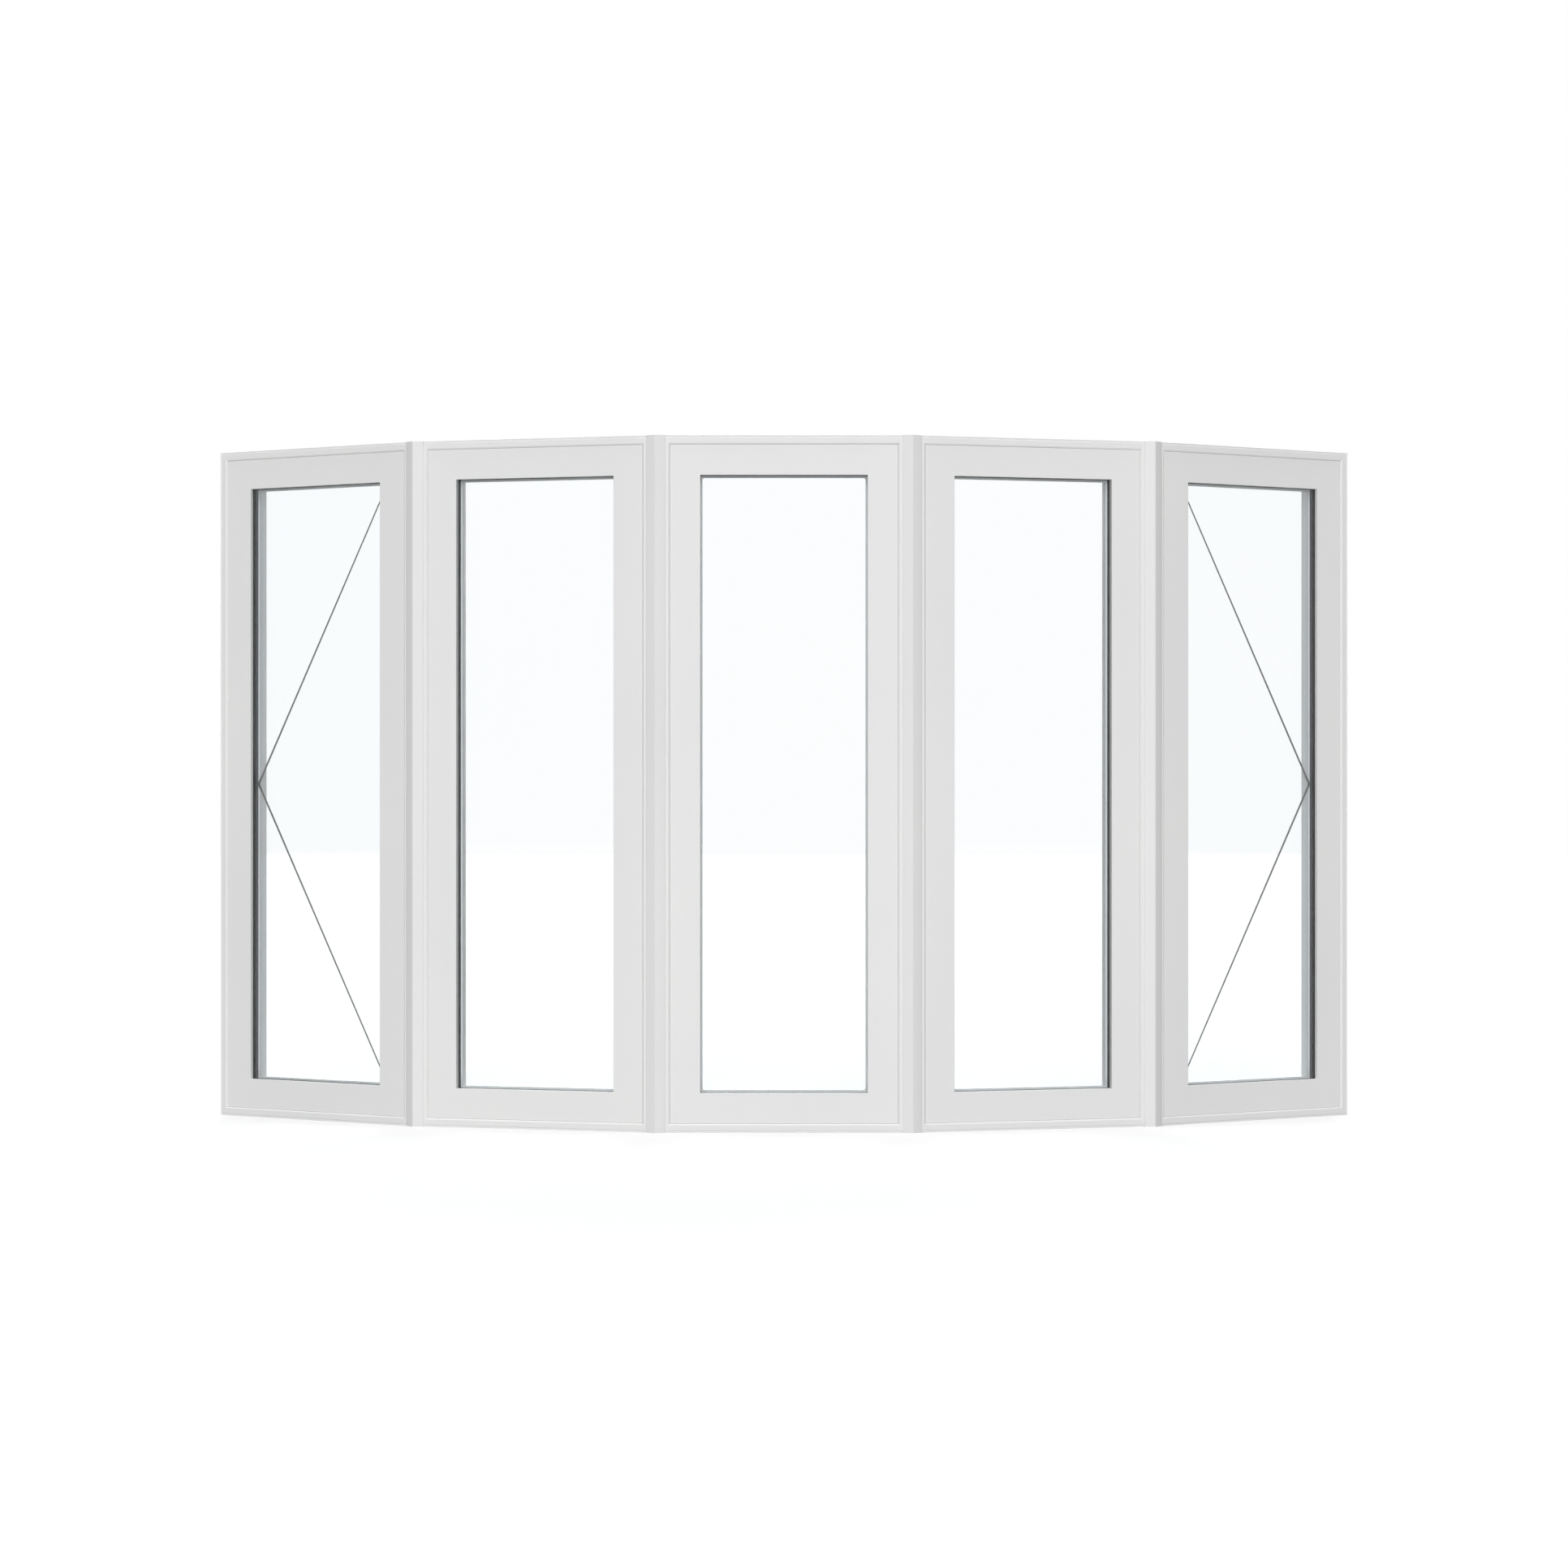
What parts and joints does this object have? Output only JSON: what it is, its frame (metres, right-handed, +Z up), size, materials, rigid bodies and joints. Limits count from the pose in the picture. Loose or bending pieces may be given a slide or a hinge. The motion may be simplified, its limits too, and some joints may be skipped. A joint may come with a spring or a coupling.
{
  "type": "bow window",
  "caption": "Faceted bow window of tall narrow lights in white frames, joined by ridged covers; the end lights open on cranks and the middle ones are fixed.",
  "frame": {"origin": "bottom centre of the bounding box, on the plane that the frames stand on", "axes": "+Z up, +X to the right seen from outside, -Y towards the outside, +Y towards the room"},
  "size_m": [2.5556, 0.4886, 1.5],
  "materials": {
    "frame_pvc": "white satin extruded vinyl, welded at mitred corners",
    "sash_pvc": "white satin extruded vinyl, welded at mitred corners",
    "bead_pvc": "white satin vinyl glazing bead, mitred",
    "packer": "pale grey glazing strip",
    "cover_pvc": "white satin vinyl cover with a crisp ridge",
    "post_pvc": "white vinyl mullion section, sawn ends",
    "strip_pvc": "white satin vinyl trim",
    "spacer_bar": "black warm-edge spacer",
    "glass": "clear float glass",
    "hardware": "white painted die-cast hardware"
  },
  "bodies": {
    "root": {"left_end_frame": "frame_pvc", "left_end_sash": "sash_pvc", "left_end_glass": "glass", "left_end_spacer": "spacer_bar", "left_end_bead": "bead_pvc", "left_inner_frame": "frame_pvc", "left_inner_sash": "sash_pvc", "left_inner_glass": "glass", "left_inner_spacer": "spacer_bar", "left_inner_bead": "bead_pvc", "centre_frame": "frame_pvc", "centre_sash": "sash_pvc", "centre_glass": "glass", "centre_spacer": "spacer_bar", "centre_bead": "bead_pvc", "right_inner_frame": "frame_pvc", "right_inner_sash": "sash_pvc", "right_inner_glass": "glass", "right_inner_spacer": "spacer_bar", "right_inner_bead": "bead_pvc", "right_end_frame": "frame_pvc", "right_end_sash": "sash_pvc", "right_end_glass": "glass", "right_end_spacer": "spacer_bar", "right_end_bead": "bead_pvc", "left_inner_packer": "packer", "centre_packer": "packer", "right_inner_packer": "packer", "left_end_operator": "hardware", "left_end_crank": "hardware", "left_end_lock": "hardware", "right_end_operator": "hardware", "right_end_crank": "hardware", "right_end_lock": "hardware", "outer_left_mullion_post": "post_pvc", "outer_left_mullion_cover": "cover_pvc", "outer_left_joint_strip": "strip_pvc", "inner_left_mullion_post": "post_pvc", "inner_left_mullion_cover": "cover_pvc", "inner_left_joint_strip": "strip_pvc", "inner_right_mullion_post": "post_pvc", "inner_right_mullion_cover": "cover_pvc", "inner_right_joint_strip": "strip_pvc", "outer_right_mullion_post": "post_pvc", "outer_right_mullion_cover": "cover_pvc", "outer_right_joint_strip": "strip_pvc"}
  },
  "joints": []
}
